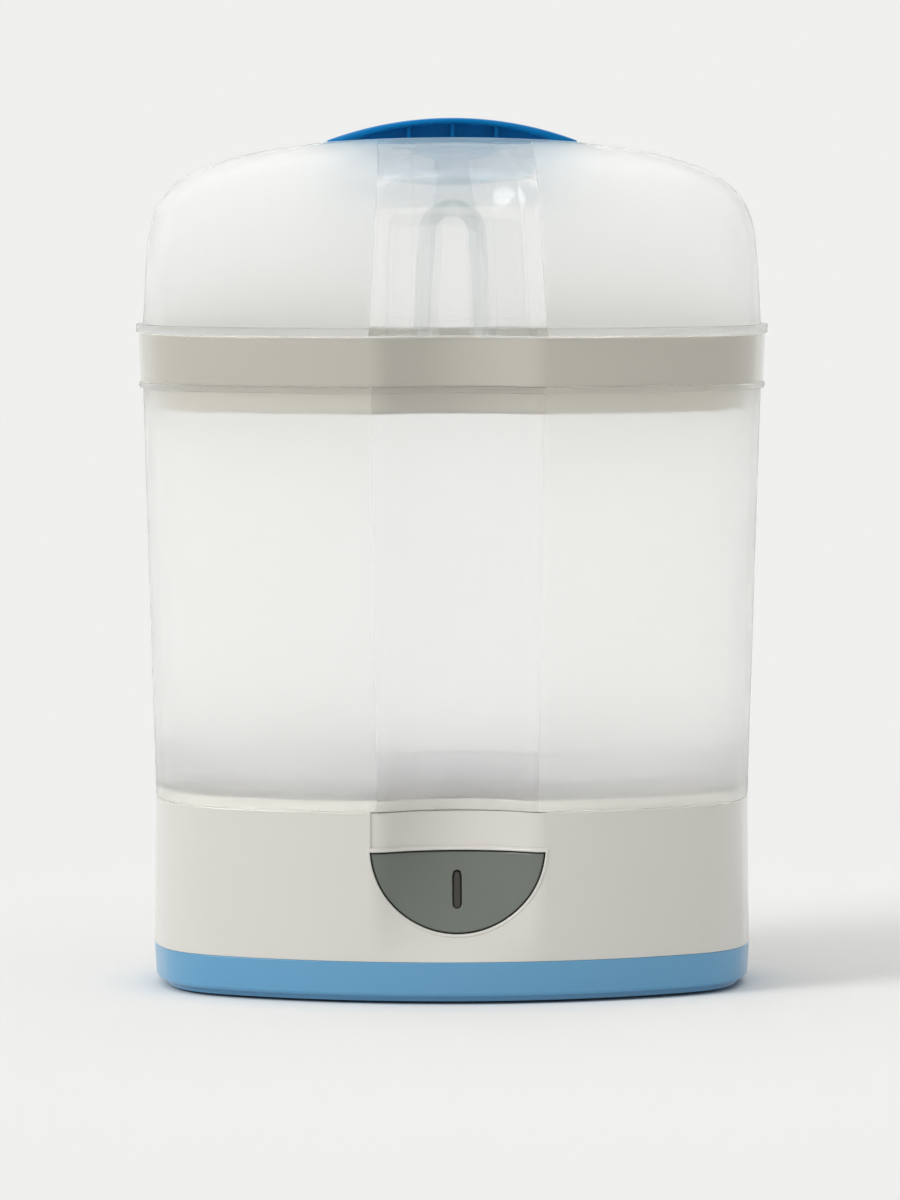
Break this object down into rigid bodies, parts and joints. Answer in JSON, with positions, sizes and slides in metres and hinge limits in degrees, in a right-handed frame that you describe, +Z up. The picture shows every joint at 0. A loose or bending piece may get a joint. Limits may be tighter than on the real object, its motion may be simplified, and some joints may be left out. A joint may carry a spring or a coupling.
{
  "type": "baby bottle sterilizer",
  "caption": "Electric steam sterilizer: base with a push button and a hot plate, frosted body, bottle rack, tray with a loop handle and a domed lid with an arched grip.",
  "frame": {"origin": "on the table, under the middle of the sterilizer", "axes": "+Z up, the front with the power button faces -Y, +X is to the right seen from the front"},
  "size_m": [0.276, 0.1796, 0.3784],
  "materials": {
    "white_housing": "glossy",
    "blue_ring": "satin",
    "foot_rubber": "matte",
    "zinc_screw": "satin",
    "stainless_plate": "brushed",
    "silicone_seal": "matte",
    "heater_sheath": "matte",
    "black_moulding": "matte",
    "circuit_board": "satin",
    "grey_button": "satin",
    "smoked_guide": "glossy",
    "frosted_body": "frosted",
    "frosted_lid": "frosted",
    "milky_rack": "satin",
    "cream_tray": "glossy",
    "milky_loop": "glossy",
    "blue_bowl": "glossy",
    "blue_grip": "glossy"
  },
  "bodies": {
    "base": {"base_ring": "blue_ring", "foot_pads": "foot_rubber", "base_screws": "zinc_screw", "base_housing": "white_housing", "basin_floor": "white_housing", "heating_plate": "stainless_plate", "plate_seal": "silicone_seal", "heating_element": "heater_sheath", "heater_clamp": "zinc_screw", "clamp_screws": "zinc_screw", "thermostat": "black_moulding", "thermal_fuse": "zinc_screw", "button_bracket": "black_moulding", "bracket_screws": "zinc_screw", "control_board": "circuit_board", "board_screws": "zinc_screw", "tact_switch": "black_moulding", "status_led": "smoked_guide", "cord_seat": "white_housing", "cord_gland": "black_moulding", "terminal_block": "black_moulding"},
    "button": {"power_button": "grey_button", "light_guide": "smoked_guide"},
    "body": {"main_body": "frosted_body"},
    "rack": {"bottle_rack": "milky_rack"},
    "tray": {"tray": "cream_tray", "tray_handle": "milky_loop"},
    "lid": {"lid_rim": "frosted_lid", "lid_shell": "frosted_lid", "handle_bowl": "blue_bowl", "handle_grip": "blue_grip"}
  },
  "joints": [
    {"name": "button_press", "type": "slide", "parent": "base", "child": "button", "axis": [0, 1, 0], "range_m": [0, 0.0012], "stiffness_N_per_m": 900, "springref_m": -0.002},
    {"name": "body_lift", "type": "slide", "parent": "base", "child": "body", "axis": [0, 0, 1], "range_m": [0, 0.1]},
    {"name": "tray_lift", "type": "slide", "parent": "body", "child": "tray", "axis": [0, 0, 1], "range_m": [0, 0.3]},
    {"name": "rack_lift", "type": "slide", "parent": "body", "child": "rack", "axis": [0, 0, 1], "range_m": [0, 0.27]},
    {"name": "lid_lift", "type": "slide", "parent": "tray", "child": "lid", "axis": [0, 0, 1], "range_m": [0, 0.15]}
  ],
  "couplings": [
    {"joint": "rack_lift", "follows": "tray_lift", "ratio": 0.9}
  ]
}
